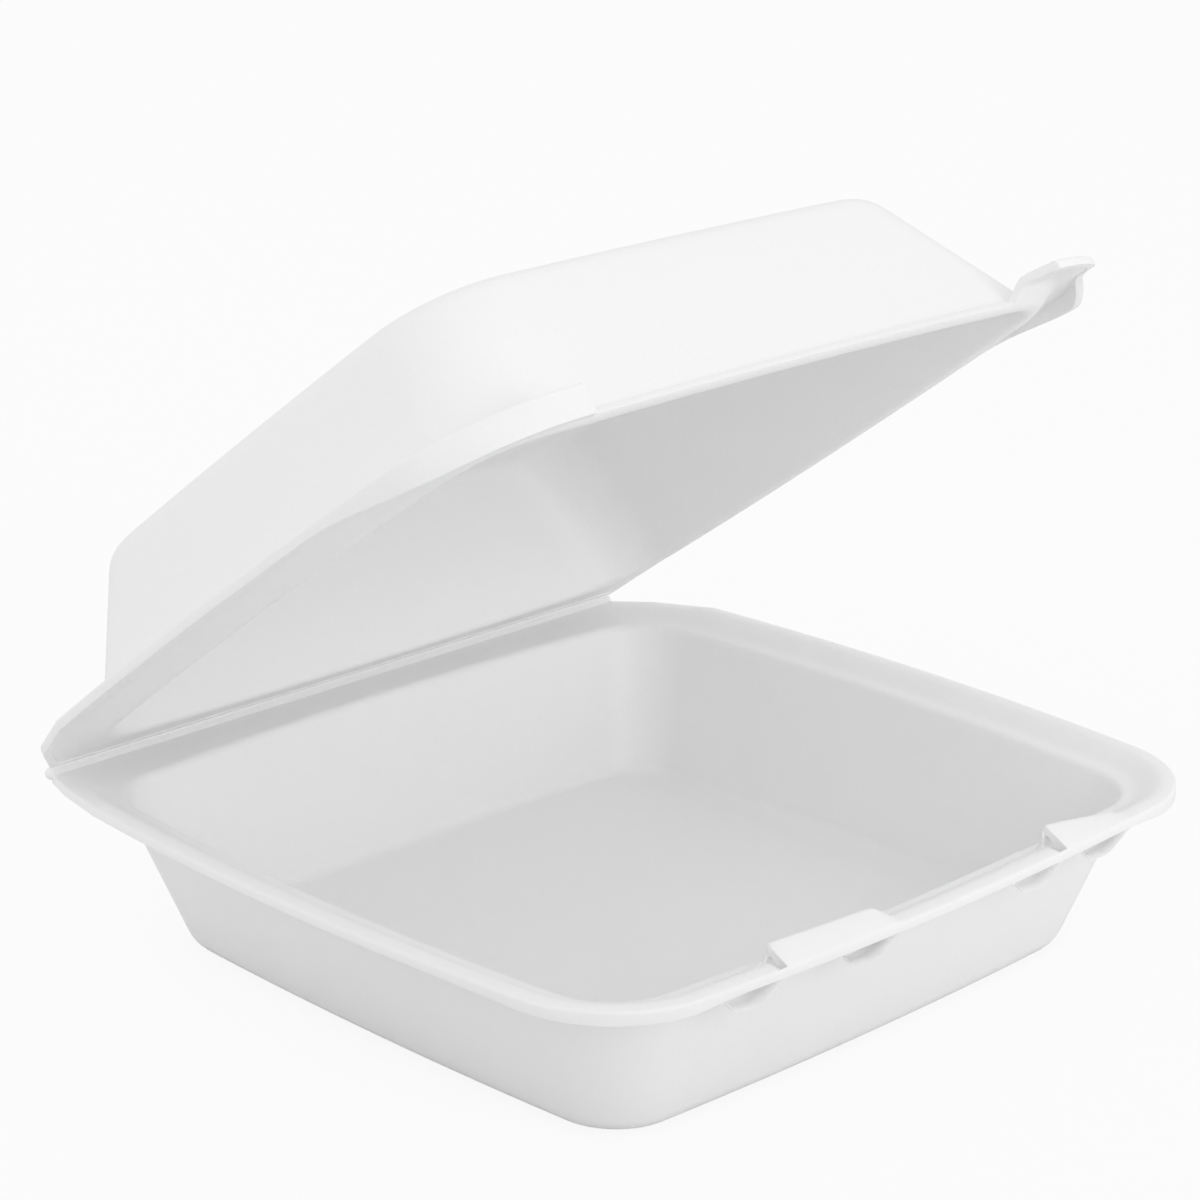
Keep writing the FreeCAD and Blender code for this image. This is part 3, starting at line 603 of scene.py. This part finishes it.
lid_kept = np.ones((column_count, out_run.shape[1] - 1), bool)
lid_kept[in_front & (np.abs(cell_x) < NOTCH_HALF), CREASE_ROW:] = False
lid_kept[in_front & (np.abs(cell_x - SLIT_PLACE) < SLIT_HALF), LEDGE_ROW] = False
lid = closed_sheet("lid_sheet", out_run, in_run, lid_kept)
soft_edges(lid, 0.5)
lid.data.materials.append(foam)
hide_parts("lid")
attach(lid, "cover")

# Floor. White studio paper, a flat sheet. To the camera it mostly glows, so that the
# background is white and a faint shadow stays.

FLOOR_REACH = 3.0
FLOOR_TONE = (0.85, 0.85, 0.85, 1.0)
FLOOR_ROUGHNESS = 0.9
FLOOR_GLOW_SHARE = 0.88
WHITE = (1.0, 1.0, 1.0, 1.0)


def stage_sheet(name, corners, material):
    """A flat four-cornered sheet of the material, linked into the scene."""
    mesh = bpy.data.meshes.new(name)
    mesh.from_pydata(corners, [], [(0, 1, 2, 3)])
    mesh.materials.append(material)
    sheet = bpy.data.objects.new(name, mesh)
    bpy.context.collection.objects.link(sheet)
    return sheet


paper = bpy.data.materials.new("pale_floor")
paper.use_nodes = True
paper_nodes, paper_links = paper.node_tree.nodes, paper.node_tree.links
paper_shader = paper_nodes["Principled BSDF"]
paper_shader.inputs["Base Color"].default_value = FLOOR_TONE
paper_shader.inputs["Roughness"].default_value = FLOOR_ROUGHNESS
glow = paper_nodes.new("ShaderNodeEmission")
glow.inputs["Color"].default_value = WHITE
ray = paper_nodes.new("ShaderNodeLightPath")
share = paper_nodes.new("ShaderNodeMath")
share.operation = "MULTIPLY"
share.inputs[1].default_value = FLOOR_GLOW_SHARE
blend = paper_nodes.new("ShaderNodeMixShader")
paper_links.new(ray.outputs["Is Camera Ray"], share.inputs[0])
paper_links.new(share.outputs[0], blend.inputs[0])
paper_links.new(paper_shader.outputs[0], blend.inputs[1])
paper_links.new(glow.outputs[0], blend.inputs[2])
paper_links.new(blend.outputs[0], paper_nodes["Material Output"].inputs["Surface"])
stage_sheet("floor", [(-FLOOR_REACH, -FLOOR_REACH, 0), (FLOOR_REACH, -FLOOR_REACH, 0),
                      (FLOOR_REACH, FLOOR_REACH, 0), (-FLOOR_REACH, FLOOR_REACH, 0)], paper)

# Dark card. A black card stands low before the container, out of the camera's sight, and
# takes some light from the near corner of the tray.

CARD_HEIGHT = 0.17
CARD_TONE = (0.02, 0.02, 0.02, 1.0)

black = bpy.data.materials.new("black_card")
black.use_nodes = True
black.node_tree.nodes["Principled BSDF"].inputs["Base Color"].default_value = CARD_TONE
card = stage_sheet("dark_card", [(-0.56, -0.20, 0.0), (-0.20, -0.56, 0.0),
                                 (-0.22, -0.58, CARD_HEIGHT), (-0.58, -0.22, CARD_HEIGHT)], black)
card.visible_camera = False

# Studio light. The room gives an even light from all round, and two soft boxes add to it
# from the front and from the left.

ROOM_LIGHT = 0.86
ROOM_SEEN = 1.0

world = bpy.data.worlds.new("studio")
bpy.context.scene.world = world
world.use_nodes = True
sky_nodes, sky_links = world.node_tree.nodes, world.node_tree.links
sky = sky_nodes["Background"]
sky.inputs["Color"].default_value = WHITE
sky_ray = sky_nodes.new("ShaderNodeLightPath")
sky_level = sky_nodes.new("ShaderNodeMapRange")
sky_level.inputs["To Min"].default_value = ROOM_LIGHT
sky_level.inputs["To Max"].default_value = ROOM_SEEN
sky_links.new(sky_ray.outputs["Is Camera Ray"], sky_level.inputs["Value"])
sky_links.new(sky_level.outputs["Result"], sky.inputs["Strength"])


def soft_box(name, place, aim, size, power):
    """A square lamp of a size in metres and a power in watts, turned towards its aim."""
    lamp = bpy.data.lights.new(name, "AREA")
    lamp.shape = "SQUARE"
    lamp.size = size
    lamp.energy = power
    holder = bpy.data.objects.new(name, lamp)
    bpy.context.collection.objects.link(holder)
    holder.location = place
    holder.rotation_euler = (Vector(aim) - Vector(place)).to_track_quat("-Z", "Y").to_euler()


soft_box("front_softbox", (-0.2, -1.4, 0.5), (0, 0, 0.08), 1.0, 4.4)
soft_box("left_softbox", (-1.3, 0.3, 0.7), (0, 0, 0.08), 0.9, 0.9)

# Camera. It looks from the front left and a little above, as the photo's does. Its place
# and lens were fitted to the outlines of the tray in the photo.

AZIMUTH = math.radians(-45.42)
ELEVATION = math.radians(20.84)
ROLL = math.radians(0.81)
DISTANCE = 0.9334
TARGET = Vector((-0.00175, 0.00303, 0.0600))
SENSOR = 36.0
PICTURE = 1200.0
FOCAL_PIXELS = 3625.6
CENTRE_PIXEL = (616.3, 722.5)

away = Vector((math.sin(AZIMUTH) * math.cos(ELEVATION), -math.cos(AZIMUTH) * math.cos(ELEVATION),
               math.sin(ELEVATION)))
right = Vector((math.cos(AZIMUTH), math.sin(AZIMUTH), 0.0))
up = away.cross(right)
rolled_right = right * math.cos(ROLL) + up * math.sin(ROLL)
rolled_up = up * math.cos(ROLL) - right * math.sin(ROLL)
view = bpy.data.cameras.new("camera")
view.sensor_width = SENSOR
view.lens = FOCAL_PIXELS / PICTURE * SENSOR
view.shift_x = (PICTURE / 2 - CENTRE_PIXEL[0]) / PICTURE
view.shift_y = (CENTRE_PIXEL[1] - PICTURE / 2) / PICTURE
camera = bpy.data.objects.new("camera", view)
bpy.context.collection.objects.link(camera)
pose = Matrix((rolled_right, rolled_up, away)).transposed().to_4x4()
camera.matrix_world = Matrix.Translation(TARGET + away * DISTANCE) @ pose
bpy.context.scene.camera = camera
bpy.context.scene.view_settings.view_transform = "Standard"

bpy.context.view_layer.update()
